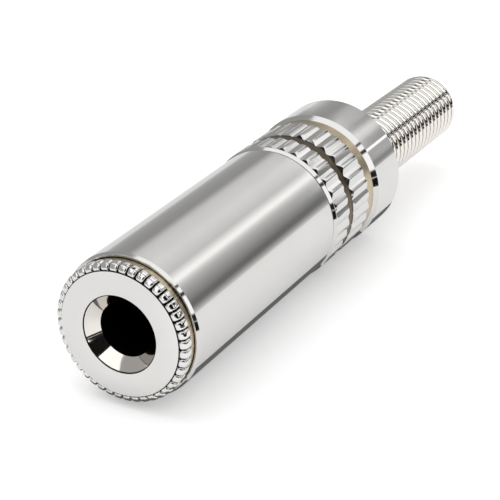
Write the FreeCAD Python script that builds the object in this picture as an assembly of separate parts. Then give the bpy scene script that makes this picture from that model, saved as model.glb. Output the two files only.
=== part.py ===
"""Inline 3.5 mm stereo jack socket with a turned metal shell and a spring bend relief.

Millimetres. The origin is the centre of the flat front face, on which the socket stands, and +Z runs
along its axis towards the spring. The plug goes in along +Z. The ring contact is on the +X side, the
tip contact on the -X side and the sleeve tag on the -Y side.
"""
import FreeCAD, Part

import math
import os

from FreeCAD import Vector

# Plug hole, for a 3.5 mm plug
bore_r = 1.80
sink_r = 2.58
sink_angle = 90.0
plug_length = 14.0

# Barrel
barrel_r = 4.78
barrel_wall = 0.78
barrel_front = 1.20
barrel_rear = 19.62
barrel_front_chamfer = 0.18

# Front bushing: knurled flange, neck, threaded land and rear skirt
flange_set_in = 0.18
flange_slope = 0.50
flange_slope_depth = 0.38
flange_end = 0.80
teeth = 44
tooth_depth = 0.34
tooth_gap_share = 0.48
seat_step = 0.50
neck_end = 2.20
land_length = 4.00
skirt_length = 2.20
skirt_step = 0.20
skirt_wall = 0.43

# Rear cap: spigot, ribbed grip and plain collar
spigot_length = 3.60
spigot_wall = 0.56
spigot_cover = 0.45
cap_ring_chamfer = 0.22
cap_ring_end = 20.02
rib_stand = 0.10
rib_count = 32
rib_gap_share = 0.62
rib_depth = 0.12
rib_runout = 0.25
band_1_end = 21.92
band_2_start = 22.68
band_2_end = 25.10
groove_depth = 0.15
collar_chamfer_start = 26.10
collar_start = 26.50
collar_stand = 0.20
collar_end = 30.01
collar_edge = 0.12
rear_wall = 1.40

# Spring bend relief: close-wound wire with a wide base inside the cap, lying over to one side
wire_d = 0.66
wire_sides = 6
coil_pitch = 0.684
coil_steps = 9
tail_outer_r = 2.62
base_spread = 0.68
base_turns = 2.0
taper_turns = 1.0
spring_end = 45.85
lean_x_deg = -1.33
lean_y_deg = -0.26
hole_offset_x = -0.269
hole_offset_y = -0.288
hole_room = 0.48

# Contact carrier, moulded
plug_cavity_r = 2.10
tip_room = 0.50
end_wall = 0.30
block_length = 2.20
flat_depth = 0.90
slot_width = 1.80
slot_floor_x = 1.10
slot_room = 0.30

# Contact blades
blade_t = 0.20
blade_width = 1.40
blade_reach = 0.25
ring_contact_z = 9.50
tip_contact_z = 12.80
blade_lead_z = 0.62
blade_lead_x = 0.45
foot_length = 1.70

# Solder tags of the blades
tag_t = 0.25
tag_width = 1.60
tag_reach = 2.80
tag_eye_r = 0.45

# Rivets
rivet_r = 0.42
rivet_head_r = 0.65
rivet_head_t = 0.20
rivet_depth = 1.00
rivet_forward = 0.20

# Sleeve tag with its cable clamp
washer_t = 0.30
arm_t = 0.30
arm_width = 2.00
arm_set_in = 0.25
arm_eye_r = 0.60
arm_eye_back = 1.70
clamp_gap = 3.60
clamp_length = 3.20
clamp_set_in = 0.20
clamp_t = 0.25
clamp_wing = 1.00

# Insulating sleeve
sleeve_wall = 0.18
sleeve_end = 24.30

# Clearances
thread_play = 0.05
register_play = 0.03
seat_play = 0.02
blade_play = 0.10
rivet_play = 0.02
channel_play = 0.05
sleeve_play = 0.10

# Radii worked out from the sizes above, from the shell inwards
barrel_bore_r = barrel_r - barrel_wall
flange_r = barrel_r - flange_set_in
neck_r = barrel_bore_r + seat_step
land_r = barrel_bore_r - thread_play
skirt_outer_r = land_r - skirt_step
skirt_bore_r = skirt_outer_r - skirt_wall
carrier_r = skirt_bore_r - rivet_play
spigot_r = barrel_r - spigot_cover - thread_play
cap_bore_r = spigot_r - spigot_wall
sleeve_outer_r = cap_bore_r - sleeve_play
rib_r = barrel_r + rib_stand
groove_r = rib_r - groove_depth
collar_r = barrel_r + collar_stand
cable_hole_r = tail_outer_r + hole_room
base_outer_r = tail_outer_r + base_spread
arm_y = arm_set_in - carrier_r
clamp_outer_r = carrier_r - clamp_set_in

# Places worked out from the sizes above
land_end = neck_end + land_length
skirt_end = land_end + skirt_length
carrier_front = land_end + washer_t
block_start = plug_length + tip_room + end_wall
carrier_end = block_start + block_length
flat_x = carrier_r - flat_depth
foot_x = flat_x + blade_play
tag_x = foot_x + blade_t + blade_play
blade_rest_x = bore_r - blade_reach
rivet_z = block_start + block_length / 2 - rivet_forward
foot_front = rivet_z - foot_length / 2
foot_back = rivet_z + foot_length / 2
clamp_start = carrier_end + clamp_gap
spigot_front = barrel_rear - spigot_length
cap_inner_end = collar_end - rear_wall
over = 1.0


def turned(points):
    """A solid turned about Z from (radius, height) corners."""
    corners = [Vector(radius, 0, height) for radius, height in points]
    outline = Part.Face(Part.makePolygon(corners + corners[:1]))
    return outline.revolve(Vector(0, 0, 0), Vector(0, 0, 1), 360)


def tube(outer_r, inner_r, start, end):
    """A plain ring or tube along Z."""
    return turned([(inner_r, start), (outer_r, start), (outer_r, end), (inner_r, end)])


def box(x_range, y_range, z_range):
    """A block between two limits on each axis."""
    low, high = [Vector(*corner) for corner in zip(x_range, y_range, z_range)]
    size = high - low
    return Part.makeBox(size.x, size.y, size.z, low)


def rod(radius, start, end):
    """A round bar between two points."""
    return Part.makeCylinder(radius, (end - start).Length, start, end - start)


def prism(corners, along):
    """A flat outline pushed along a vector."""
    return Part.Face(Part.makePolygon(corners + corners[:1])).extrude(along)


def around(shape, count):
    """Copies of a shape, evenly spaced about Z."""
    copies = []
    for number in range(count):
        copy = shape.copy()
        copy.rotate(Vector(0, 0, 0), Vector(0, 0, 1), 360.0 * number / count)
        copies.append(copy)
    return copies


def facing(shape, side):
    """The shape as made on the +X side, or turned half round to the -X side."""
    if side < 0:
        shape.rotate(Vector(0, 0, 0), Vector(0, 0, 1), 180)
    return shape


def v_groove(crest_r, depth, count, gap_share, start, end):
    """Cutter for one V groove along Z, whose mouth takes a share of the pitch of the crests."""
    half_mouth = math.pi * crest_r / count * gap_share
    half_top = half_mouth * (depth + over) / depth
    corners = [
        Vector(crest_r - depth, 0, start),
        Vector(crest_r + over, half_top, start),
        Vector(crest_r + over, -half_top, start),
    ]
    return prism(corners, Vector(0, 0, end - start))


def front_bushing():
    """Turned brass front: countersunk plug hole, knurled flange, neck, threaded land and skirt."""
    sink_depth = (sink_r - bore_r) / math.tan(math.radians(sink_angle / 2))
    body = turned([
        (bore_r, sink_depth),
        (sink_r, 0),
        (flange_r - flange_slope, 0),
        (flange_r, flange_slope_depth),
        (flange_r, flange_end),
        (neck_r, flange_end),
        (neck_r, neck_end),
        (land_r, neck_end),
        (land_r, land_end - skirt_step),
        (skirt_outer_r, land_end),
        (skirt_outer_r, skirt_end),
        (skirt_bore_r, skirt_end),
        (skirt_bore_r, land_end),
        (bore_r, land_end),
    ])
    tooth_gap = v_groove(flange_r, tooth_depth, teeth, tooth_gap_share, -over, flange_end)
    return body.cut(around(tooth_gap, teeth))


def barrel():
    """Smooth turned shell, screwed on the bushing's land and holding the cap's spigot."""
    register_r = neck_r + register_play
    seat = neck_end + seat_play
    rear_bore_r = spigot_r + thread_play
    rear_step = spigot_front - 2 * seat_play
    return turned([
        (register_r, barrel_front),
        (barrel_r - barrel_front_chamfer, barrel_front),
        (barrel_r, barrel_front + barrel_front_chamfer),
        (barrel_r, barrel_rear),
        (rear_bore_r, barrel_rear),
        (rear_bore_r, rear_step),
        (barrel_bore_r, rear_step),
        (barrel_bore_r, seat),
        (register_r, seat),
    ])


def flute(start, end):
    """Cutter for one flute of the grip: it slopes in behind the band's front and is open at its back."""
    groove = v_groove(rib_r, rib_depth, rib_count, rib_gap_share, start, end)
    half_width = math.pi * rib_r / rib_count
    corners = [
        Vector(rib_r, -half_width, start),
        Vector(rib_r - rib_depth, -half_width, start + rib_runout),
        Vector(rib_r - rib_depth, -half_width, end),
        Vector(rib_r, -half_width, end),
    ]
    return groove.common(prism(corners, Vector(0, 2 * half_width, 0)).fuse(
        box((rib_r, rib_r + over), (-half_width, half_width), (start, end))))


def rear_cap():
    """Turned cap: spigot, two ribbed bands with a groove behind each, and the plain collar."""
    ring_front = barrel_rear + seat_play
    body = turned([
        (cap_bore_r, spigot_front),
        (spigot_r, spigot_front),
        (spigot_r, ring_front),
        (rib_r - cap_ring_chamfer, ring_front),
        (rib_r, ring_front + cap_ring_chamfer),
        (rib_r, band_1_end),
        (groove_r, band_1_end),
        (groove_r, band_2_start),
        (rib_r, band_2_start),
        (rib_r, band_2_end),
        (groove_r, band_2_end),
        (groove_r, collar_chamfer_start),
        (collar_r, collar_start),
        (collar_r, collar_end - collar_edge),
        (collar_r - collar_edge, collar_end),
        (cable_hole_r, collar_end),
        (cable_hole_r, cap_inner_end),
        (cap_bore_r, cap_inner_end),
    ])
    flutes = around(flute(cap_ring_end, band_1_end), rib_count)
    flutes += around(flute(band_2_start, band_2_end), rib_count)
    return body.cut(flutes)


def strain_relief_spring():
    """Close-wound spring: wide turns trapped behind the cap's rear wall, a taper, then the long tail."""
    base_back = cap_inner_end - wire_d / 2 - taper_turns * coil_pitch - collar_end
    wire_end = spring_end - wire_d / 2 - collar_end
    turns = base_turns + (wire_end - base_back) / coil_pitch
    direction = Vector(math.tan(math.radians(lean_x_deg)), math.tan(math.radians(lean_y_deg)), 1)
    lean = FreeCAD.Rotation(Vector(0, 0, 1), direction)
    place = FreeCAD.Placement(Vector(hole_offset_x, hole_offset_y, collar_end), lean)

    def wire_section(turn):
        """Outline of the wire in the half plane that it crosses after so many turns."""
        taper = min(max((turn - base_turns) / taper_turns, 0), 1)
        outer_r = base_outer_r + taper * (tail_outer_r - base_outer_r)
        height = base_back + (turn - base_turns) * coil_pitch
        angle = 2 * math.pi * turn
        corners = []
        for side in range(wire_sides):
            way_round = 2 * math.pi * (side + 0.5) / wire_sides
            radius = outer_r - wire_d / 2 + wire_d / 2 * math.cos(way_round)
            corner = Vector(radius * math.cos(angle), radius * math.sin(angle),
                            height + wire_d / 2 * math.sin(way_round))
            corners.append(place.multVec(corner))
        return Part.makePolygon(corners + corners[:1])

    count = int(turns * coil_steps)
    return Part.makeLoft([wire_section(step / coil_steps) for step in range(count + 1)], True, True)


def contact_carrier():
    """Moulded insulator: plug cavity, a slot for each blade, the sleeve tag's channel and the rear block."""
    body = rod(carrier_r, Vector(0, 0, carrier_front), Vector(0, 0, carrier_end))
    cavity = rod(plug_cavity_r, Vector(0, 0, carrier_front - over), Vector(0, 0, plug_length + tip_room))
    channel = box(
        (-arm_width / 2 - channel_play, arm_width / 2 + channel_play),
        (-carrier_r - over, arm_y + arm_t + channel_play),
        (carrier_front - over, carrier_end + over),
    )
    cutters = [cavity, channel]
    hole_end = Vector(flat_x - rivet_depth - channel_play, 0, rivet_z)
    for side, contact_z in ((1, ring_contact_z), (-1, tip_contact_z)):
        slot_start = contact_z - blade_lead_z - slot_room
        slot = box((slot_floor_x, carrier_r + over), (-slot_width / 2, slot_width / 2), (slot_start, block_start))
        flat = box((flat_x, carrier_r + over), (-carrier_r, carrier_r), (block_start, carrier_end + over))
        rivet_hole = rod(rivet_r + rivet_play, hole_end, Vector(carrier_r + over, 0, rivet_z))
        cutters += [facing(slot, side), facing(flat, side), facing(rivet_hole, side)]
    return body.cut(cutters)


def contact_blade(side, contact_z):
    """Sprung blade: its foot lies on the carrier's flat, and its bend reaches into the plug's path."""
    inner = [
        (foot_x, foot_back),
        (foot_x, foot_front),
        (blade_rest_x, contact_z),
        (blade_rest_x + blade_lead_x, contact_z - blade_lead_z),
    ]
    outer = [(x + blade_t, z) for x, z in reversed(inner)]
    corners = [Vector(x, -blade_width / 2, z) for x, z in inner + outer]
    strip = prism(corners, Vector(0, blade_width, 0))
    hole = rod(rivet_r + blade_play, Vector(flat_x, 0, rivet_z), Vector(tag_x, 0, rivet_z))
    return facing(strip.cut(hole), side)


def solder_tag(side):
    """Stamped tag riveted over a blade's foot, with a solder eye in its round end."""
    end = carrier_end + tag_reach
    eye_z = end - tag_width / 2
    strip = box((tag_x, tag_x + tag_t), (-tag_width / 2, tag_width / 2), (foot_front, eye_z))
    round_end = rod(tag_width / 2, Vector(tag_x, 0, eye_z), Vector(tag_x + tag_t, 0, eye_z))
    eye = rod(tag_eye_r, Vector(foot_x, 0, eye_z), Vector(tag_x + over, 0, eye_z))
    rivet_hole = rod(rivet_r + rivet_play, Vector(foot_x, 0, rivet_z), Vector(tag_x + over, 0, rivet_z))
    return facing(strip.fuse(round_end).removeSplitter().cut([eye, rivet_hole]), side)


def rivet(side):
    """Rivet through tag and blade into the carrier's block."""
    head_x = tag_x + tag_t
    shank = rod(rivet_r, Vector(flat_x - rivet_depth, 0, rivet_z), Vector(head_x, 0, rivet_z))
    head = rod(rivet_head_r, Vector(head_x, 0, rivet_z), Vector(head_x + rivet_head_t, 0, rivet_z))
    return facing(shank.fuse(head).removeSplitter(), side)


def sleeve_tag():
    """Stamped sleeve contact: washer behind the land, arm along the carrier, solder eye and open clamp."""
    clamp_end = clamp_start + clamp_length
    washer = tube(carrier_r, plug_cavity_r, land_end, carrier_front)
    below_arm = box((-carrier_r, carrier_r), (-carrier_r - over, arm_y), (land_end - over, carrier_front + over))
    arm = box((-arm_width / 2, arm_width / 2), (arm_y, arm_y + arm_t), (land_end, clamp_end))
    saddle = tube(clamp_outer_r, clamp_outer_r - clamp_t, clamp_start, clamp_end)
    above = box((-carrier_r, carrier_r), (0, carrier_r), (clamp_start - over, clamp_end + over))
    wing = box((clamp_outer_r - clamp_t, clamp_outer_r), (0, clamp_wing), (clamp_start, clamp_end))
    other_wing = wing.mirror(Vector(0, 0, 0), Vector(1, 0, 0))
    eye_z = carrier_end + arm_eye_back
    eye = rod(arm_eye_r, Vector(0, arm_y - over, eye_z), Vector(0, 0, eye_z))
    shape = washer.cut(below_arm).fuse([arm, saddle.cut(above), wing, other_wing])
    return shape.removeSplitter().cut(eye)


def insulating_sleeve():
    """Thin plastic tube between the contacts and the shell."""
    return tube(sleeve_outer_r, sleeve_outer_r - sleeve_wall, skirt_end + sleeve_play, sleeve_end)


pieces = {
    "front_bushing": front_bushing(),
    "barrel": barrel(),
    "rear_cap": rear_cap(),
    "strain_relief_spring": strain_relief_spring(),
    "contact_carrier": contact_carrier(),
    "ring_blade": contact_blade(1, ring_contact_z),
    "tip_blade": contact_blade(-1, tip_contact_z),
    "ring_tag": solder_tag(1),
    "tip_tag": solder_tag(-1),
    "ring_rivet": rivet(1),
    "tip_rivet": rivet(-1),
    "sleeve_tag": sleeve_tag(),
    "insulating_sleeve": insulating_sleeve(),
}

os.makedirs("parts", exist_ok=True)
for name, shape in pieces.items():
    shape.exportStep(f"parts/{name}.step")
    print(f"{name}: valid {shape.isValid()}, solids {len(shape.Solids)}, volume {shape.Volume:.2f} mm3")
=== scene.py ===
"""Looks of the inline jack socket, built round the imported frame.

Everything is in metres in the frame's own axes: the socket stands on its flat front face, and +Z runs
along it to the spring. For the picture it lies on a floor beside it, which is a plane across Y.
"""

import math

import bmesh
import bpy
from mathutils import Matrix, Vector


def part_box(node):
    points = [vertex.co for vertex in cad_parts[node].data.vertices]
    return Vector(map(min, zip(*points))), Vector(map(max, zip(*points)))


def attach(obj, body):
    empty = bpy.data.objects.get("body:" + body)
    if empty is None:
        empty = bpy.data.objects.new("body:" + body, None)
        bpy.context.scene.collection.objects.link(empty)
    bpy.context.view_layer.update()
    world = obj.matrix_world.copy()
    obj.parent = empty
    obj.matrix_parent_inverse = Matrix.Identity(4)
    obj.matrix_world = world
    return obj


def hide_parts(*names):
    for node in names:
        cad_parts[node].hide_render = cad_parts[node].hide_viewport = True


bl_info = {
    "name": "Inline Jack Socket",
    "version": (1, 0, 0),
    "blender": (4, 5, 0),
    "location": "3D View > Sidebar > Jack Socket",
    "description": "Builds the plated shell, knurl, grip and spring of an inline jack socket, and its studio",
    "category": "Object",
}

MM = 0.001
# Two places less than this apart are the same place
NEAR = 1e-6
# The socket and the cards beside it lie this far above the table
FLOOR_GAP = 0.01 * MM

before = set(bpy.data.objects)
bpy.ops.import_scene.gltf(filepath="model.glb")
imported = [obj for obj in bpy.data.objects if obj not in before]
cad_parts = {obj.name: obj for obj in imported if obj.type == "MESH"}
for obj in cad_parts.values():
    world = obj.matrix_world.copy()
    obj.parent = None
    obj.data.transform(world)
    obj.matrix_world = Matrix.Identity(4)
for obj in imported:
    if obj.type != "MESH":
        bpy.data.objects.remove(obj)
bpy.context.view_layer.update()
barrel_low, barrel_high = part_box("barrel")
cap_low, cap_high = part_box("rear_cap")
front_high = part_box("front_bushing")[1]
spring_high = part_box("strain_relief_spring")[1]

# Heights and radii where the cap, its spigot and the spring meet
COLLAR_END = 30.01 * MM
REAR_WALL = 28.61 * MM
CAP_BORE = 3.72 * MM
SPIGOT_RADIUS = 4.28 * MM

# Share of the slit's or valley's depth at each step of a bead and of a rib
BEAD_SHARES = (1.0, 0.55, 0.20, 0.08, 0.03, 0.01, 0.0, 0.0, 0.0, 0.0, 0.0, 0.01, 0.03, 0.08, 0.20, 0.55)
RIB_SHARES = (1.0, 0.81, 0.63, 0.44, 0.26, 0.08, 0.0, 0.08, 0.26, 0.44, 0.63, 0.81)


def colour(hex_value):
    """Linear red, green and blue of an sRGB hex value."""
    shares = [int(hex_value[place:place + 2], 16) / 255 for place in (1, 3, 5)]
    return [share / 12.92 if share <= 0.04045 else ((share + 0.055) / 1.055) ** 2.4 for share in shares]


def length(name, description, default):
    """A length that a user can set, in metres."""
    return bpy.props.FloatProperty(
        name=name, description=description, default=default, min=0, precision=5, unit="LENGTH",
        subtype="DISTANCE")


def tint(name, description, hex_value):
    """A colour that a user can set."""
    return bpy.props.FloatVectorProperty(
        name=name, description=description, default=colour(hex_value), min=0, max=1, size=3, subtype="COLOR")


# Sizes and colours that a user can change

class JackPlatingSettings(bpy.types.PropertyGroup):
    bright: tint("Bright nickel", "Plating of the front bushing", "#DEDDDB")
    satin: tint("Satin nickel", "Plating of the barrel and rear cap", "#CFCECC")
    thin: tint("Thin plating", "Neck and the groove before the collar, where brass shows through", "#B9AB93")
    patina: tint("Dark brass", "First groove of the grip, which the plating bath hardly reached", "#5C5142")
    sink: tint("Countersink", "Worn plating of the countersink, a little warmer than the face", "#DEDAD4")
    # Painted shade: the near-black of the knurl's slits, the bore and fine edges, where shade falls
    painted_shade: tint("Painted shade", "Polishing paste left in the knurl's slits and in fine edges", "#1D1A17")
    polish: bpy.props.FloatProperty(
        name="Satin roughness", description="Roughness of the satin plating", default=0.07, min=0, max=1)


class JackBushingSettings(bpy.types.PropertyGroup):
    flange_radius: length("Flange radius", "Crest of the knurl's beads", front_high.x)
    flange_end: length("Flange end", "Height of the flange's back", 0.80 * MM)
    face_radius: length("Face radius", "Edge of the flat front face", 4.10 * MM)
    sink_radius: length("Countersink radius", "Countersink at the face", 2.58 * MM)
    bore_radius: length("Bore radius", "Plug hole", 1.80 * MM)
    neck_radius: length("Neck radius", "Neck between the flange and the barrel", 4.50 * MM)
    slit_depth: length("Slit depth", "Depth of the slits between beads", 0.24 * MM)
    beads: bpy.props.IntProperty(
        name="Beads", description="Beads round the flange", default=44, min=8, max=90)
    thread_pitch: length("Thread pitch", "Pitch of the barrel's thread", 0.75 * MM)


class JackShellSettings(bpy.types.PropertyGroup):
    barrel_radius: length("Barrel radius", "Outside of the barrel", barrel_high.x)
    barrel_front: length("Barrel front", "Height of the barrel's front edge", barrel_low.z)
    barrel_rear: length("Barrel rear", "Height of the barrel's rear edge", barrel_high.z)
    edge_break: length("Edge break", "Rounding of the turned edges", 0.04 * MM)
    collar_radius: length("Collar radius", "Outside of the plain collar", -cap_low.x)
    rib_radius: length("Rib radius", "Crest of the grip's ribs", 4.88 * MM)
    rib_depth: length("Rib depth", "Depth of the valleys between ribs", 0.14 * MM)
    rib_slope: length("Rib slope", "Length of the slope at the front of each rib", 0.25 * MM)
    rib_drop: length("Rib drop", "Height of the slope at the front of each rib", 0.10 * MM)
    groove_radius: length("Groove radius", "Floor of the grooves behind the ribbed bands", 4.73 * MM)
    ribs: bpy.props.IntProperty(name="Ribs", description="Ribs round the grip", default=32, min=8, max=60)


class JackSpringSettings(bpy.types.PropertyGroup):
    wire: length("Wire", "Diameter of the wire", 0.66 * MM)
    pitch: length("Pitch", "Rise of the coil in a turn", 0.684 * MM)
    tail_radius: length("Tail radius", "Outside of the close-wound tail", 2.62 * MM)
    base_radius: length("Base radius", "Outside of the wide turns in the cap", 3.30 * MM)
    shine: tint("Wire finish", "Plating of the wire", "#E4E1DC")
    # Painted shade: the darker tan between the turns, where shade falls
    sides: tint("Shaded sides", "Dull plating where the turns touch", "#A89C8E")


class JackContactSettings(bpy.types.PropertyGroup):
    moulding: tint("Moulding", "Contact carrier", "#1C1C1E")
    bronze: tint("Bronze", "Sprung blades", "#D2A873")
    tin: tint("Tin", "Solder tags and sleeve tag", "#CFCCC5")
    brass: tint("Brass", "Rivets", "#D8B56C")
    tube: tint("Tube", "Insulating sleeve", "#DDE3DF")


class JackStageSettings(bpy.types.PropertyGroup):
    floor_level: length("Floor level", "Distance of the floor from the axis", cap_high.x + FLOOR_GAP)
    lens: bpy.props.FloatProperty(
        name="Lens", description="Focal length on a 36 mm sensor", default=122.2, min=20)


# Materials

def add_node(tree, kind, inputs=None, **settings):
    """Adds a node with its settings; inputs holds values, or output sockets to link."""
    node = tree.nodes.new(kind)
    for name, value in settings.items():
        setattr(node, name, value)
    for name, value in (inputs or {}).items():
        if isinstance(value, bpy.types.NodeSocket):
            tree.links.new(value, node.inputs[name])
        else:
            node.inputs[name].default_value = value
    return node


def start_material(name):
    """An empty node material and its tree."""
    material = bpy.data.materials.new(name)
    material.use_nodes = True
    material.node_tree.nodes.clear()
    return material, material.node_tree


def end_material(tree, surface):
    """Links the shader to the output."""
    add_node(tree, "ShaderNodeOutputMaterial", {"Surface": surface})


def rgba(shade, share=1):
    """A share of a colour, with its alpha."""
    return [*[share * part for part in shade], 1]


def turning_marks(tree, width):
    """Fine rings left by the lathe: noise that changes along the axis and the radius, not round them.

    A fine cut leaves them 0.02 to 0.03 mm apart. They are drawn two to four times as wide, so that they show.
    """
    place = add_node(tree, "ShaderNodeTexCoord").outputs["Object"]
    split = add_node(tree, "ShaderNodeSeparateXYZ", {"Vector": place})
    flat = add_node(tree, "ShaderNodeCombineXYZ", {"X": split.outputs["X"], "Y": split.outputs["Y"]})
    radius = add_node(tree, "ShaderNodeVectorMath", {0: flat.outputs["Vector"]}, operation="LENGTH")
    along = add_node(
        tree, "ShaderNodeMath", {0: split.outputs["Z"], 1: radius.outputs["Value"]}, operation="ADD")
    return add_node(
        tree, "ShaderNodeTexNoise",
        {"W": along.outputs["Value"], "Scale": 1 / width, "Detail": 3.0, "Roughness": 0.6},
        noise_dimensions="1D")


def plated_metal(name, shade, roughness, mark_width, mark_depth, spread=0.05):
    """Turned and plated metal: fine turning marks in the gloss and the bump, and a faint drift of tone.

    The marks draw a highlight out into soft rings. The tone drifts every 2.5 mm, as a plating bath leaves it.
    """
    material, tree = start_material(name)
    place = add_node(tree, "ShaderNodeTexCoord").outputs["Object"]
    marks = turning_marks(tree, mark_width)
    clouds = add_node(tree, "ShaderNodeTexNoise", {"Vector": place, "Scale": 1 / (2.5 * MM), "Detail": 2.0})
    tone = add_node(
        tree, "ShaderNodeMix",
        {"Factor": clouds.outputs["Fac"], "A": rgba(shade, 0.94), "B": rgba(shade)},
        data_type="RGBA")
    gloss = add_node(
        tree, "ShaderNodeMapRange",
        {"Value": marks.outputs["Fac"], "From Min": 0.3, "From Max": 0.7,
         "To Min": max(roughness - spread, 0.02), "To Max": roughness + spread})
    bump = add_node(
        tree, "ShaderNodeBump", {"Height": marks.outputs["Fac"], "Strength": 0.25, "Distance": mark_depth})
    shader = add_node(
        tree, "ShaderNodeBsdfPrincipled",
        {"Base Color": tone.outputs["Result"], "Metallic": 1.0, "Roughness": gloss.outputs["Result"],
         "Normal": bump.outputs["Normal"]})
    end_material(tree, shader.outputs["BSDF"])
    return material


def rolled_metal(name, shade, roughness):
    """Stamped strip: rolling lines along Z, which smear its highlights, and blotches 0.8 mm wide.

    Real rolling lines are about 0.01 mm apart. They are drawn 0.06 mm apart, so that they show.
    """
    material, tree = start_material(name)
    place = add_node(tree, "ShaderNodeTexCoord").outputs["Object"]
    stretched = add_node(tree, "ShaderNodeMapping", {"Vector": place, "Scale": (1, 1, 0.04)})
    lines = add_node(
        tree, "ShaderNodeTexNoise", {"Vector": stretched.outputs["Vector"], "Scale": 1 / (0.06 * MM)})
    blots = add_node(tree, "ShaderNodeTexNoise", {"Vector": place, "Scale": 1 / (0.8 * MM), "Detail": 3.0})
    tone = add_node(
        tree, "ShaderNodeMix",
        {"Factor": blots.outputs["Fac"], "A": rgba(shade, 0.82), "B": rgba(shade)},
        data_type="RGBA")
    gloss = add_node(
        tree, "ShaderNodeMapRange",
        {"Value": blots.outputs["Fac"], "From Min": 0.3, "From Max": 0.7, "To Min": roughness - 0.06,
         "To Max": roughness + 0.1})
    bump = add_node(
        tree, "ShaderNodeBump", {"Height": lines.outputs["Fac"], "Strength": 0.3, "Distance": 0.004 * MM})
    shader = add_node(
        tree, "ShaderNodeBsdfPrincipled",
        {"Base Color": tone.outputs["Result"], "Metallic": 1.0, "Roughness": gloss.outputs["Result"],
         "Normal": bump.outputs["Normal"]})
    end_material(tree, shader.outputs["BSDF"])
    return material


def moulded_plastic(name, shade):
    """Moulded nylon: spark-eroded grain that scatters the highlights to a soft sheen.

    Real grain is about 0.02 mm across. It is drawn 0.08 mm across, so that it shows.
    """
    material, tree = start_material(name)
    place = add_node(tree, "ShaderNodeTexCoord").outputs["Object"]
    grain = add_node(tree, "ShaderNodeTexNoise", {"Vector": place, "Scale": 1 / (0.08 * MM), "Detail": 2.0})
    tone = add_node(
        tree, "ShaderNodeMix",
        {"Factor": grain.outputs["Fac"], "A": rgba(shade, 0.75), "B": rgba(shade)},
        data_type="RGBA")
    bump = add_node(
        tree, "ShaderNodeBump", {"Height": grain.outputs["Fac"], "Strength": 0.4, "Distance": 0.008 * MM})
    shader = add_node(
        tree, "ShaderNodeBsdfPrincipled",
        {"Base Color": tone.outputs["Result"], "Roughness": 0.5, "IOR": 1.53,
         "Normal": bump.outputs["Normal"]})
    end_material(tree, shader.outputs["BSDF"])
    return material


def clear_tube(name, shade):
    """Thin extruded plastic: milky and half see-through, so that what is inside shows as a soft shape.

    Its draw lines along Z are a few hundredths of a millimetre apart, and are drawn 0.3 mm apart to show.
    """
    material, tree = start_material(name)
    place = add_node(tree, "ShaderNodeTexCoord").outputs["Object"]
    stretched = add_node(tree, "ShaderNodeMapping", {"Vector": place, "Scale": (1, 1, 0.03)})
    lines = add_node(
        tree, "ShaderNodeTexNoise", {"Vector": stretched.outputs["Vector"], "Scale": 1 / (0.3 * MM)})
    gloss = add_node(
        tree, "ShaderNodeMapRange", {"Value": lines.outputs["Fac"], "To Min": 0.22, "To Max": 0.42})
    shader = add_node(
        tree, "ShaderNodeBsdfPrincipled",
        {"Base Color": rgba(shade), "Roughness": gloss.outputs["Result"], "IOR": 1.5,
         "Transmission Weight": 0.6})
    end_material(tree, shader.outputs["BSDF"])
    return material


# Mesh work

def turn(mesh, corners, steps):
    """Turns a closed outline of (radius, height) corners once round the axis."""
    verts = [mesh.verts.new((radius, 0, height)) for radius, height in corners]
    edges = [mesh.edges.new(pair) for pair in zip(verts, verts[1:] + verts[:1])]
    bmesh.ops.spin(
        mesh, geom=verts + edges, cent=(0, 0, 0), axis=(0, 0, 1), angle=math.tau, steps=steps, use_merge=True)


def rounded(centre, radius, start, end, steps):
    """Corners on an arc, by angle from the radius direction towards +Z."""
    angles = [math.radians(start + (end - start) * step / steps) for step in range(steps + 1)]
    return [(centre[0] + radius * math.cos(angle), centre[1] + radius * math.sin(angle)) for angle in angles]


def press_in(vert, radius):
    """Moves a vertex in towards the axis, to a radius."""
    across = Vector((vert.co.x, vert.co.y, 0))
    if across.length > radius:
        vert.co -= across.normalized() * (across.length - radius)


def move_towards(vert, core, distance):
    """Moves a vertex towards the (radius, height) core of a ring by a distance."""
    out = Vector((vert.co.x, vert.co.y, 0)).normalized()
    way = out * core[0] + Vector((0, 0, core[1])) - vert.co
    vert.co += way.normalized() * min(distance, way.length)


def phase_of(vert, count, steps):
    """Number of the step within one of count repeats that a vertex stands on."""
    way_round = math.atan2(vert.co.y, vert.co.x) / math.tau * count * steps
    return round(way_round) % steps


def made_material(name, maker):
    """A material that another step made; stops if that step hasn't run."""
    material = bpy.data.materials.get(name)
    if material is None:
        raise RuntimeError(f"{name} is missing: run {maker} first")
    return material


def finish_piece(mesh, name, material, body, nodes, edge=None, crease=32):
    """Makes the object of a bmesh and puts it on its body.

    Edges sharper than crease, in degrees, stay sharp, and edge is the width that they are rounded to.
    """
    bmesh.ops.remove_doubles(mesh, verts=mesh.verts, dist=1e-7)
    bmesh.ops.recalc_face_normals(mesh, faces=mesh.faces)
    data = bpy.data.meshes.new(name)
    mesh.to_mesh(data)
    mesh.free()
    data.shade_smooth()
    data.set_sharp_from_angle(angle=math.radians(crease))
    data.materials.append(material)
    piece = bpy.data.objects.new(name, data)
    bpy.context.scene.collection.objects.link(piece)
    if edge:
        rounding = piece.modifiers.new("edge_break", "BEVEL")
        rounding.width = edge
        rounding.segments = 2
        rounding.limit_method = "ANGLE"
        rounding.angle_limit = math.radians(40)
        rounding.harden_normals = True
    else:
        flat = piece.modifiers.new("flat_faces", "WEIGHTED_NORMAL")
        flat.keep_sharp = True
        flat.weight = 100
    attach(piece, body)
    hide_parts(*nodes)
    return piece


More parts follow.
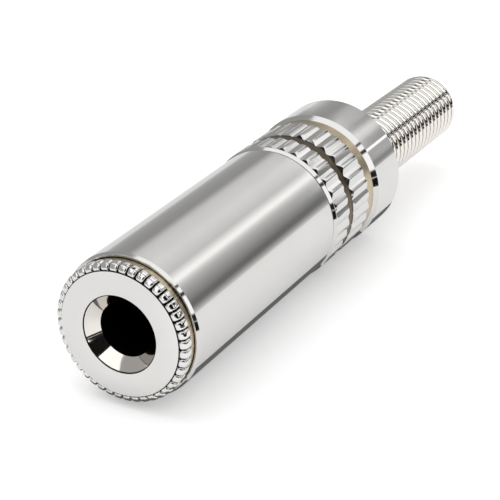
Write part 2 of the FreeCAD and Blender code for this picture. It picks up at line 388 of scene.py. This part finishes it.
def thread(name, material, body, root, crest, pitch, start, turns):
    """Winds a right-hand ridge round a land as its screw thread; root and crest are (radius, half height)."""
    steps = 72
    section = [(root[0], -root[1]), (crest[0], -crest[1]), crest, root]
    mesh = bmesh.new()
    verts = [mesh.verts.new((radius, 0, start + height)) for radius, height in section]
    edges = [mesh.edges.new(pair) for pair in zip(verts, verts[1:] + verts[:1])]
    count = round(turns * steps)
    bmesh.ops.spin(
        mesh, geom=verts + edges, cent=(0, 0, 0), axis=(0, 0, 1), dvec=(0, 0, pitch / steps),
        angle=math.tau * count / steps, steps=count)
    bmesh.ops.holes_fill(mesh, edges=mesh.edges, sides=len(section))
    finish_piece(mesh, name, material, body, [])


# Pieces

class JACK_OT_front_bushing(bpy.types.Operator):
    """Turned front bushing with its countersink, beaded rim, neck, thread and skirt"""
    bl_idname = "jack.front_bushing"
    bl_label = "Front bushing"

    def execute(self, context):
        size = context.scene.jack_bushing
        plating = context.scene.jack_plating
        steps = len(BEAD_SHARES)
        crest, face, back, neck = size.flange_radius, size.face_radius, size.flange_end, size.neck_radius
        sink, bore = size.sink_radius, size.bore_radius
        neck_end, land_end, skirt_end = 2.20 * MM, 6.20 * MM, 8.40 * MM
        land, skirt, skirt_bore = 3.72 * MM, 3.75 * MM, 3.32 * MM
        lip, nose, heel = 0.07 * MM, 0.36 * MM, 0.10 * MM
        slits_start = face + 0.03 * MM
        shoulder = crest - 0.40 * MM
        corners = [
            (bore, land_end),
            (bore, sink - bore),
            (sink - lip, lip),
            (sink, 0.01 * MM),
            (sink + 0.02 * MM, 0),
            (face - 0.03 * MM, 0),
            (face, 0.01 * MM),
            (face + 0.02 * MM, 0.09 * MM),
            (face + 0.05 * MM, 0.06 * MM),
            (face + 0.10 * MM, 0.03 * MM),
            (face + 0.20 * MM, 0.03 * MM),
            *rounded((crest - nose, 0.40 * MM), nose, -70, 0, 5),
            (crest, back - 0.16 * MM),
            *rounded((crest - heel, back - heel), heel, 20, 75, 3),
            (neck, back),
            (neck, neck_end),
            (land, neck_end),
            (land, land_end),
            (skirt, land_end),
            (skirt, skirt_end),
            (skirt_bore, skirt_end),
            (skirt_bore, land_end),
        ]
        mesh = bmesh.new()
        turn(mesh, corners, size.beads * steps)
        core = (shoulder, 0.46 * MM)
        for vert in mesh.verts:
            reach = math.hypot(vert.co.x, vert.co.y)
            if reach > slits_start and vert.co.z < back - NEAR:
                move_towards(vert, core, size.slit_depth * BEAD_SHARES[phase_of(vert, size.beads, steps)])
        plates = [
            # Bright nickel on brass: nearly a mirror, so the face stays one clean pale tone
            plated_metal("bright_nickel", plating.bright, 0.09, mark_width=0.05 * MM,
                         mark_depth=0.0006 * MM, spread=0.02),
            # Thin nickel on brass: tan and half matt, as the bath reached the neck less
            plated_metal("thin_nickel", plating.thin, 0.25, mark_width=0.08 * MM, mark_depth=0.004 * MM),
            # Worn nickel: the countersink, polished by plugs, with hard light and dark wedges
            plated_metal("worn_nickel", plating.sink, 0.05, mark_width=0.04 * MM,
                         mark_depth=0.001 * MM, spread=0.02),
            # Painted shade: dull and nearly black, painted where shade falls, which parts the beads, darkens
            # the bore and rims the countersink
            plated_metal("painted_slit_shade", plating.painted_shade, 0.45, mark_width=0.10 * MM, mark_depth=0.004 * MM),
        ]
        thin, worn, painted_shade = 1, 2, 3
        bushing = finish_piece(
            mesh, "knurled_bushing", plates[0], "front", ["front_bushing"])
        for plate in plates[1:]:
            bushing.data.materials.append(plate)
        for side in bushing.data.polygons:
            reach, height = math.hypot(side.center.x, side.center.y), side.center.z
            turns = math.atan2(side.center.y, side.center.x) / math.tau * size.beads
            in_slit = abs(turns - round(turns)) < (2 if reach < shoulder else 1) / steps
            if reach < neck + NEAR and back - 0.04 * MM < height < neck_end - 0.01 * MM:
                side.material_index = thin
            elif bore < reach < sink - lip and height < sink - bore - 0.01 * MM:
                side.material_index = worn
            # Painted shade in the bore, on the countersink's rims, at the face's edge and in the slits
            elif reach < bore + NEAR:
                side.material_index = painted_shade
            elif sink - lip < reach < sink or face < reach < slits_start and height < back / 2:
                side.material_index = painted_shade
            elif in_slit and reach > slits_start and height < back:
                side.material_index = painted_shade
        thread(
            "bushing_thread", plates[0], "front", root=(3.70 * MM, 0.30 * MM),
            crest=(3.95 * MM, 0.06 * MM), pitch=size.thread_pitch, start=2.62 * MM,
            turns=3.15 * MM / size.thread_pitch)
        return {"FINISHED"}


class JACK_OT_barrel(bpy.types.Operator):
    """Smooth turned barrel"""
    bl_idname = "jack.barrel"
    bl_label = "Barrel"

    def execute(self, context):
        size = context.scene.jack_shell
        plating = context.scene.jack_plating
        outer, front, rear = size.barrel_radius, size.barrel_front, size.barrel_rear
        mouth, mouth_end = 4.53 * MM, 2.22 * MM
        seat, seat_start = 4.33 * MM, 15.98 * MM
        bore, chamfer = 4.00 * MM, 0.10 * MM
        corners = [
            (mouth, front),
            (outer - 0.11 * MM, front),
            (outer, front + 0.25 * MM),
            (outer, rear - chamfer),
            (outer - chamfer, rear),
            (seat, rear),
            (seat, seat_start),
            (bore, seat_start),
            (bore, mouth_end),
            (mouth, mouth_end),
        ]
        mesh = bmesh.new()
        turn(mesh, corners, 192)
        # Satin nickel on brass: a little softer than the face, so the tent's edges blur along the barrel
        satin = plated_metal("satin_nickel", plating.satin, plating.polish, mark_width=0.06 * MM,
                             mark_depth=0.001 * MM, spread=0.03)
        finish_piece(
            mesh, "smooth_barrel", satin, "shell", ["barrel"], edge=size.edge_break,
            crease=20)
        return {"FINISHED"}


class JACK_OT_rear_cap(bpy.types.Operator):
    """Rear cap with its two ribbed bands, grooves, chamfer and collar"""
    bl_idname = "jack.rear_cap"
    bl_label = "Rear cap"

    def execute(self, context):
        size = context.scene.jack_shell
        plating = context.scene.jack_plating
        steps = len(RIB_SHARES)
        satin = made_material("satin_nickel", "Barrel")
        crest, collar, groove = size.rib_radius, size.collar_radius, size.groove_radius
        spigot_start, spigot_end, root = 16.02 * MM, 19.50 * MM, 4.06 * MM
        groove_1, groove_2 = (21.92 * MM, 22.68 * MM), (25.10 * MM, 26.10 * MM)
        bands = ((20.02 * MM, groove_1[0]), (groove_1[1], groove_2[0]))
        ring, fine_edge, cable_hole = crest - 0.01 * MM, 0.03 * MM, 3.10 * MM

        def band(start, end):
            return [
                (crest - size.rib_drop, start), (crest, start + size.rib_slope), (crest, end - fine_edge),
                (crest - fine_edge, end)]

        corners = [
            (CAP_BORE, spigot_start),
            (root, spigot_start),
            (root, spigot_end),
            (SPIGOT_RADIUS, spigot_end),
            (SPIGOT_RADIUS, 19.64 * MM),
            (crest - 0.15 * MM, 19.66 * MM),
            (ring, 19.89 * MM),
            (ring, 19.93 * MM),
            *band(*bands[0]),
            (groove, groove_1[0]),
            (groove, groove_1[1]),
            *band(*bands[1]),
            (groove, groove_2[0]),
            (groove, groove_2[1]),
            (collar, 26.50 * MM),
            (collar, 29.95 * MM),
            (collar - 0.06 * MM, COLLAR_END),
            (cable_hole, COLLAR_END),
            (cable_hole, REAR_WALL),
            (CAP_BORE, REAR_WALL),
        ]
        mesh = bmesh.new()
        turn(mesh, corners, size.ribs * steps)
        for vert in mesh.verts:
            share = RIB_SHARES[phase_of(vert, size.ribs, steps)]
            level = crest - size.rib_depth * share
            reach = math.hypot(vert.co.x, vert.co.y)
            for start, end in bands:
                if start - NEAR < vert.co.z < end + NEAR and reach > level:
                    if abs(vert.co.z - start - size.rib_slope) < NEAR:
                        vert.co.z -= size.rib_slope * min(size.rib_depth * share / size.rib_drop, 1)
                    press_in(vert, level)
        cap = finish_piece(
            mesh, "ribbed_cap", satin, "end_cap", ["rear_cap"], crease=20)
        # Brass gone dark with age: brown and half matt, so the groove reads as a line between the bands
        cap.data.materials.append(
            plated_metal("dark_brass", plating.patina, 0.30, mark_width=0.08 * MM, mark_depth=0.004 * MM))
        cap.data.materials.append(made_material("thin_nickel", "Front bushing"))
        for side in cap.data.polygons:
            if math.hypot(side.center.x, side.center.y) < groove + NEAR:
                for index, (start, end) in enumerate((groove_1, groove_2), 1):
                    if start - 0.01 * MM < side.center.z < end:
                        side.material_index = index
        thread(
            "cap_thread", satin, "end_cap", root=(4.05 * MM, 0.19 * MM),
            crest=(SPIGOT_RADIUS, 0.04 * MM), pitch=0.5 * MM, start=16.25 * MM, turns=5.8)
        return {"FINISHED"}


class JACK_OT_bend_relief(bpy.types.Operator):
    """Close-wound spring with wide turns inside the cap and a tail that lies over a little"""
    bl_idname = "jack.bend_relief"
    bl_label = "Bend relief"

    def execute(self, context):
        size = context.scene.jack_spring
        steps = 32
        base_turns, taper_turns, wire_corners = 2, 1, 16
        lean_x, lean_y = math.radians(-1.33), math.radians(-0.26)
        foot_x, foot_y = -0.269 * MM, -0.288 * MM
        end_play = 0.05 * MM
        # Heights are counted from the collar's end, where the tail starts to lean
        start = REAR_WALL - size.wire / 2 - (taper_turns + base_turns) * size.pitch - COLLAR_END
        finish = spring_high.z - end_play - size.wire / 2 - COLLAR_END
        count = round((finish - start) / size.pitch * steps)
        mesh = bmesh.new()
        upright = Matrix.Rotation(math.pi / 2, 4, "X")
        place = Matrix.Translation((size.base_radius - size.wire / 2, 0, start)) @ upright
        ring = bmesh.ops.create_circle(
            mesh, segments=wire_corners, radius=size.wire / 2, matrix=place)["verts"]
        edges = list({edge for vert in ring for edge in vert.link_edges})
        step_in = (size.base_radius - size.tail_radius) / (taper_turns * steps)
        for step in range(count):
            made = bmesh.ops.extrude_edge_only(mesh, edges=edges)["geom"]
            verts = [item for item in made if isinstance(item, bmesh.types.BMVert)]
            edges = [item for item in made if isinstance(item, bmesh.types.BMEdge)]
            if base_turns * steps <= step < (base_turns + taper_turns) * steps:
                angle = math.tau * step / steps
                bmesh.ops.translate(
                    mesh, verts=verts, vec=(-step_in * math.cos(angle), -step_in * math.sin(angle), 0))
            bmesh.ops.rotate(
                mesh, verts=verts, cent=(0, 0, 0), matrix=Matrix.Rotation(math.tau / steps, 3, "Z"))
            bmesh.ops.translate(mesh, verts=verts, vec=(0, 0, size.pitch / steps))
        bmesh.ops.holes_fill(mesh, edges=mesh.edges, sides=wire_corners)
        along = Vector((math.tan(lean_x), math.tan(lean_y), 1))
        lean = Vector((0, 0, 1)).rotation_difference(along).to_matrix().to_4x4()
        foot = Matrix.Translation((foot_x, foot_y, COLLAR_END))
        bmesh.ops.transform(mesh, matrix=foot @ lean, verts=mesh.verts)
        # Nickel on drawn steel wire: nearly a mirror, so each turn has its own hard bright and dark dashes
        wire = plated_metal("plated_wire", size.shine, 0.06, mark_width=0.05 * MM, mark_depth=0.001 * MM,
                            spread=0.02)
        coil = finish_piece(
            mesh, "wire_coil", wire, "bend_relief", ["strain_relief_spring"])
        # Painted shade: a darker, duller tan on the faces that face the next turn, a soft line between two
        # turns
        coil.data.materials.append(
            plated_metal("painted_turn_shade", size.sides, 0.20, mark_width=0.05 * MM, mark_depth=0.002 * MM))
        turn_shade, facing_next_turn = 1, 0.84
        for side in coil.data.polygons:
            if abs(side.normal.z) > facing_next_turn:
                side.material_index = turn_shade
        return {"FINISHED"}


class JACK_OT_contacts(bpy.types.Operator):
    """Finishes of the carrier, contacts, tags, rivets and insulating sleeve"""
    bl_idname = "jack.contacts"
    bl_label = "Contacts"

    def execute(self, context):
        size = context.scene.jack_contacts
        # Black nylon: matt and dark, behind the bright contacts
        nylon = moulded_plastic("moulded_nylon", size.moulding)
        # Rolled phosphor bronze: warm and springy-looking, glossier than the tags
        bronze = rolled_metal("rolled_bronze", size.bronze, 0.24)
        # Tinned brass: pale grey and blotched, as hot tin leaves it
        tin = rolled_metal("tinned_brass", size.tin, 0.32)
        # Turned brass: yellow, with a small clear highlight on each head
        brass = plated_metal("turned_brass", size.brass, 0.22, mark_width=0.06 * MM, mark_depth=0.002 * MM)
        # Extruded polypropylene: milky, so the tags show through it
        tube = clear_tube("milky_tube", size.tube)
        finishes = (
            (nylon, "contact_carrier"),
            (bronze, "ring_blade", "tip_blade"),
            (tin, "ring_tag", "tip_tag", "sleeve_tag"),
            (brass, "ring_rivet", "tip_rivet"),
            (tube, "insulating_sleeve"),
        )
        for material, *nodes in finishes:
            for node in nodes:
                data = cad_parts[node].data
                data.materials.clear()
                data.materials.append(material)
        return {"FINISHED"}


# Stage

TENT_RADIUS = 0.30
TENT_END = 0.66

# Arches of the tent: name, where they start and end along Z, and (degrees from +X, strength) round them.
# The barrel mirrors the rear arch, the ribs the band arch, the collar the collar arch, the ribs' sloped
# fronts the dark strip, the chamfers the narrow arch, the countersink the entry arch and the coils all.
TENT = (
    ("rear_arch", 0.30, 0.462, (
        (0, 0.75), (4, 0.58), (12, 0.48), (20, 0.45), (30, 0.42), (40, 0.41), (46, 0.58), (53, 0.83),
        (62, 0.92), (72, 0.96), (85, 1.04), (97, 0.97), (110, 0.84), (116, 1.12), (122, 1.48),
        (126, 1.48), (132, 0.96), (138, 0.70), (148, 0.49), (157, 0.35), (164, 0.22), (169, 0.22),
        (175, 0.50), (180, 0.90))),
    ("band_arch", 0.462, 0.488, (
        (0, 0.75), (10, 0.42), (70, 0.40), (78, 1.50), (148, 1.50), (156, 0.38), (180, 0.38))),
    ("collar_arch", 0.488, 0.66, (
        (0, 1.05), (5, 0.94), (13, 0.74), (21, 0.67), (29, 0.54), (37, 0.47), (53, 0.42), (61, 0.51),
        (67, 0.66), (85, 0.67), (95, 0.63), (101, 0.50), (106, 0.52), (112, 0.85), (118, 1.10),
        (126, 0.95), (133, 0.58), (143, 0.46), (146, 0.46), (147, 2.0), (150, 2.0), (151, 0.58),
        (160, 0.66), (166, 0.62), (172, 0.36), (175, 0.36), (180, 0.62))),
    ("middle_arch", 0.11, 0.30, (
        (0, 0.75), (6, 0.45), (68, 0.45), (71, 0.02), (82, 0.02), (83, 1.35), (136, 1.35), (137, 0.02),
        (151, 0.02), (152, 1.50), (164, 1.50), (165, 0.02), (180, 0.02))),
    ("dark_strip", 0.050, 0.11, (
        (0, 0.60), (30, 0.45), (70, 0.45), (78, 0.02), (180, 0.02))),
    ("narrow_arch", -0.03, 0.050, (
        (0, 0.60), (10, 0.30), (30, 0.30), (46, 0.50), (54, 1.40), (130, 1.40), (131.5, 0.10),
        (133.5, 0.10), (135, 1.50), (141, 1.50), (142, 0.05), (146, 0.05), (147, 1.50), (170, 1.50),
        (172, 0.02), (180, 0.02))),
    ("front_arch", -0.205, -0.03, (
        (0, 0.50), (8, 0.45), (60, 0.45), (66, 0.60), (70, 1.45), (83, 1.45), (84, 0.02), (91, 0.02),
        (92, 1.50), (139, 1.50), (140.5, 0.02), (151, 0.02), (152.5, 1.50), (169, 1.50), (171, 0.02),
        (180, 0.02))),
    ("entry_arch", -0.295, -0.205, (
        (0, 0.50), (8, 0.45), (56, 0.45), (60, 1.45), (169, 1.45), (171, 0.02), (180, 0.02))),
    ("outer_arch", -1.20, -0.295, (
        (0, 0.50), (8, 0.45), (62, 0.45), (66, 1.45), (71, 1.45), (72, 0.02), (83, 0.02), (84, 1.50),
        (142, 1.50), (143, 0.02), (156, 0.02), (157, 1.50), (176, 1.50), (178, 0.02), (180, 0.02))),
)

# Cards on the table, seen in the metal only, which paint shade and light into its reflections: name,
# strength, and (x, z) corners
FLOOR_CARDS = (
    # Dark painted shade, where the table is far off on the -X side
    ("far_card", 0.01, (
        (-0.034, -0.026), (-0.300, -0.500), (-0.300, 0.066), (-0.075, 0.066), (-0.030, 0.027),
        (-0.030, -0.014))),
    # Grey painted shadow, straight under the socket
    ("painted_shadow_card", 0.15, ((-0.0042, -0.0006), (-0.0042, 0.036), (0.0040, 0.036), (0.0040, -0.0006))),
    # Painted light, on the +X side
    ("side_card", 0.87, ((0.009, 0.004), (0.300, 0.004), (0.300, 0.450), (0.009, 0.450))),
)

# The camera that fits the circles seen in the photograph
CAMERA_PLACE = (-48.94 * MM, 47.89 * MM, -74.79 * MM)
CAMERA_RIGHT = (-0.8811, 0.0, 0.4729)
CAMERA_FORWARD = (0.4267, -0.4290, 0.7960)


class JACK_OT_stage(bpy.types.Operator):
    """White floor, light tent, cards, lamp, surroundings and camera"""
    bl_idname = "jack.stage"
    bl_label = "Stage"

    def execute(self, context):
        size = context.scene.jack_stage
        scene = context.scene
        self.floor(size.floor_level)
        for name, start, end, stops in TENT:
            self.arch(name, start, end, stops)
        cloth = self.curtain()
        self.flag(cloth)
        for name, strength, outline in FLOOR_CARDS:
            self.floor_card(name, size.floor_level, outline, strength)
        self.lamp("left_softbox", place=(0.16, 0.45, 0.05), width=0.40, power=0.35)
        self.world(scene)
        data = bpy.data.cameras.new("camera")
        data.lens = size.lens
        data.sensor_width = 36
        data.clip_start, data.clip_end = 0.001, 10
        camera = bpy.data.objects.new("camera", data)
        right = Vector(CAMERA_RIGHT).normalized()
        forward = Vector(CAMERA_FORWARD).normalized()
        right = (right - forward * right.dot(forward)).normalized()
        up = right.cross(forward)
        axes = Matrix((right, up, -forward)).transposed().to_4x4()
        camera.matrix_world = Matrix.Translation(CAMERA_PLACE) @ axes
        scene.collection.objects.link(camera)
        scene.camera = camera
        scene.view_settings.view_transform = "Standard"
        return {"FINISHED"}

    def floor(self, level):
        """Matt white table that keeps the shadow; seen from below it is clear.

        It glows a little to white for the camera, and in the metal it carries a painted glow, stronger at the
        -X side.
        """
        material, tree = start_material("white_table")
        path = add_node(tree, "ShaderNodeLightPath")
        place = add_node(tree, "ShaderNodeTexCoord").outputs["Object"]
        split = add_node(tree, "ShaderNodeSeparateXYZ", {"Vector": place})
        # Painted glow seen only in the metal: 0.29 at -6 mm, falling to 0.14 at +8 mm along X
        across = add_node(
            tree, "ShaderNodeMapRange",
            {"Value": split.outputs["X"], "From Min": -6 * MM, "From Max": 8 * MM,
             "To Min": 0.29, "To Max": 0.14})
        painted_glow_in_metal = add_node(
            tree, "ShaderNodeMath", {0: path.outputs["Is Glossy Ray"], 1: across.outputs["Result"]},
            operation="MULTIPLY")
        direct = add_node(
            tree, "ShaderNodeMath",
            {0: path.outputs["Is Camera Ray"], 1: path.outputs["Is Transmission Ray"]}, operation="MAXIMUM")
        lift = add_node(
            tree, "ShaderNodeMath", {0: direct.outputs["Value"], 1: 0.30, 2: painted_glow_in_metal.outputs["Value"]},
            operation="MULTIPLY_ADD")
        paper = add_node(tree, "ShaderNodeBsdfDiffuse", {"Color": (0.95, 0.95, 0.95, 1)})
        glow = add_node(tree, "ShaderNodeEmission", {"Strength": lift.outputs["Value"]})
        lit = add_node(tree, "ShaderNodeAddShader", {0: paper.outputs["BSDF"], 1: glow.outputs["Emission"]})
        clear = add_node(tree, "ShaderNodeBsdfTransparent")
        side = add_node(tree, "ShaderNodeNewGeometry")
        seen = add_node(
            tree, "ShaderNodeMixShader",
            {0: side.outputs["Backfacing"], 1: lit.outputs["Shader"], 2: clear.outputs["BSDF"]})
        end_material(tree, seen.outputs["Shader"])
        mesh = bmesh.new()
        facing_up = Matrix.Rotation(-math.pi / 2, 4, "X")
        bmesh.ops.create_grid(mesh, x_segments=1, y_segments=1, size=0.6, matrix=facing_up)
        bmesh.ops.translate(mesh, verts=mesh.verts, vec=(0, -level, 0.1))
        self.stage_piece(mesh, "table", material)

    def arch(self, name, start, end, stops):
        """Lit cloth arched over the table, seen in reflections only; stops are (degrees, strength)."""
        material, tree = start_material(name)
        place = add_node(tree, "ShaderNodeTexCoord").outputs["Object"]
        split = add_node(tree, "ShaderNodeSeparateXYZ", {"Vector": place})
        angle = add_node(
            tree, "ShaderNodeMath", {0: split.outputs["Y"], 1: split.outputs["X"]}, operation="ARCTAN2")
        share = add_node(
            tree, "ShaderNodeMapRange",
            {"Value": angle.outputs["Value"], "From Min": 0.0, "From Max": math.pi})
        ramp = add_node(tree, "ShaderNodeValToRGB", {"Fac": share.outputs["Result"]})
        bands = ramp.color_ramp.elements
        while len(bands) < len(stops):
            bands.new(0.5)
        for band, (degrees, strength) in zip(bands, stops):
            band.position = degrees / 180
            band.color = (strength / 2, strength / 2, strength / 2, 1)
        cloth = add_node(tree, "ShaderNodeEmission", {"Color": ramp.outputs["Color"], "Strength": 2.0})
        end_material(tree, cloth.outputs["Emission"])
        mesh = bmesh.new()
        foot = mesh.verts.new((TENT_RADIUS, 0, start))
        head = mesh.verts.new((TENT_RADIUS, 0, end))
        rail = mesh.edges.new((foot, head))
        bmesh.ops.spin(
            mesh, geom=[foot, head, rail], cent=(0, 0, 0), axis=(0, 0, 1), angle=math.pi, steps=96)
        self.hide_from_camera(self.stage_piece(mesh, name, material))

    def curtain(self):
        """Dark curtain that closes the tent's far end."""
        material, tree = start_material("dark_curtain")
        cloth = add_node(tree, "ShaderNodeEmission", {"Strength": 0.005})
        end_material(tree, cloth.outputs["Emission"])
        mesh = bmesh.new()
        bmesh.ops.create_circle(
            mesh, cap_ends=True, segments=64, radius=TENT_RADIUS,
            matrix=Matrix.Translation((0, 0, TENT_END)))
        self.hide_from_camera(self.stage_piece(mesh, "curtain", material))
        return material

    def flag(self, material):
        """Black flag near the front, which the countersink mirrors as its dark wedge."""
        radius, low, high = 0.030, -0.060, -0.004
        first, span = math.radians(122), math.radians(50)
        mesh = bmesh.new()
        foot = mesh.verts.new((radius, 0, low))
        head = mesh.verts.new((radius, 0, high))
        rail = mesh.edges.new((foot, head))
        bmesh.ops.rotate(mesh, verts=[foot, head], cent=(0, 0, 0), matrix=Matrix.Rotation(first, 3, "Z"))
        bmesh.ops.spin(
            mesh, geom=[foot, head, rail], cent=(0, 0, 0), axis=(0, 0, 1), angle=span, steps=24)
        self.hide_from_camera(self.stage_piece(mesh, "front_flag", material))

    def floor_card(self, name, level, outline, strength):
        """Card just above the table, seen in reflections only; its back is clear."""
        material, tree = start_material(name)
        side = add_node(tree, "ShaderNodeNewGeometry")
        glow = add_node(tree, "ShaderNodeEmission", {"Strength": strength})
        clear = add_node(tree, "ShaderNodeBsdfTransparent")
        seen = add_node(
            tree, "ShaderNodeMixShader",
            {0: side.outputs["Backfacing"], 1: glow.outputs["Emission"], 2: clear.outputs["BSDF"]})
        end_material(tree, seen.outputs["Shader"])
        mesh = bmesh.new()
        card = mesh.faces.new([mesh.verts.new((x, FLOOR_GAP - level, z)) for x, z in outline])
        card.normal_update()
        if card.normal.y < 0:
            card.normal_flip()
        self.hide_from_camera(self.stage_piece(mesh, name, material))

    def hide_from_camera(self, piece):
        """Leaves a stage piece to reflections alone."""
        piece.visible_camera = False
        piece.visible_diffuse = False
        piece.visible_shadow = False

    def lamp(self, name, place, width, power):
        """A soft box aimed at the middle of the socket."""
        data = bpy.data.lights.new(name, "AREA")
        data.size = width
        data.energy = power
        lamp = bpy.data.objects.new(name, data)
        aim = Vector((0, 0, 0.02)) - Vector(place)
        lamp.matrix_world = Matrix.Translation(place) @ aim.to_track_quat("-Z", "Y").to_matrix().to_4x4()
        lamp.visible_glossy = False
        bpy.context.scene.collection.objects.link(lamp)

    def world(self, scene):
        """White surroundings: 1 where seen or mirrored, and 0.85 where they only light the object."""
        world = bpy.data.worlds.new("studio")
        world.use_nodes = True
        tree = world.node_tree
        tree.nodes.clear()
        path = add_node(tree, "ShaderNodeLightPath")
        seen = add_node(
            tree, "ShaderNodeMath",
            {0: path.outputs["Is Camera Ray"], 1: path.outputs["Is Glossy Ray"]}, operation="MAXIMUM")
        seen = add_node(
            tree, "ShaderNodeMath",
            {0: seen.outputs["Value"], 1: path.outputs["Is Transmission Ray"]}, operation="MAXIMUM")
        strength = add_node(
            tree, "ShaderNodeMapRange", {"Value": seen.outputs["Value"], "To Min": 0.85, "To Max": 1.0})
        sky = add_node(
            tree, "ShaderNodeBackground", {"Color": (1, 1, 1, 1), "Strength": strength.outputs["Result"]})
        add_node(tree, "ShaderNodeOutputWorld", {"Surface": sky.outputs["Background"]})
        scene.world = world

    def stage_piece(self, mesh, name, material):
        """Makes a stage object of a bmesh."""
        data = bpy.data.meshes.new(name)
        mesh.to_mesh(data)
        mesh.free()
        data.shade_smooth()
        data.materials.append(material)
        piece = bpy.data.objects.new(name, data)
        bpy.context.scene.collection.objects.link(piece)
        return piece


class VIEW3D_PT_jack_socket(bpy.types.Panel):
    """Sizes, colours and steps of the socket"""
    bl_idname = "VIEW3D_PT_jack_socket"
    bl_label = "Jack Socket"
    bl_space_type = "VIEW_3D"
    bl_region_type = "UI"
    bl_category = "Jack Socket"

    def draw(self, context):
        for name, kind in SETTINGS.items():
            group = getattr(context.scene, name)
            column = self.layout.column(align=True)
            for field in kind.__annotations__:
                column.prop(group, field)
        for operator in OPERATORS:
            self.layout.operator(operator.bl_idname)


SETTINGS = {
    "jack_plating": JackPlatingSettings,
    "jack_bushing": JackBushingSettings,
    "jack_shell": JackShellSettings,
    "jack_spring": JackSpringSettings,
    "jack_contacts": JackContactSettings,
    "jack_stage": JackStageSettings,
}
OPERATORS = (
    JACK_OT_front_bushing,
    JACK_OT_barrel,
    JACK_OT_rear_cap,
    JACK_OT_bend_relief,
    JACK_OT_contacts,
    JACK_OT_stage,
)


def register():
    for name, kind in SETTINGS.items():
        bpy.utils.register_class(kind)
        setattr(bpy.types.Scene, name, bpy.props.PointerProperty(type=kind))
    for kind in (*OPERATORS, VIEW3D_PT_jack_socket):
        bpy.utils.register_class(kind)


def unregister():
    for kind in (VIEW3D_PT_jack_socket, *reversed(OPERATORS)):
        bpy.utils.unregister_class(kind)
    for name, kind in reversed(SETTINGS.items()):
        delattr(bpy.types.Scene, name)
        bpy.utils.unregister_class(kind)


def main():
    register()
    bpy.ops.jack.front_bushing()
    bpy.ops.jack.barrel()
    bpy.ops.jack.rear_cap()
    bpy.ops.jack.bend_relief()
    bpy.ops.jack.contacts()
    bpy.ops.jack.stage()


if __name__ == "__main__":
    main()
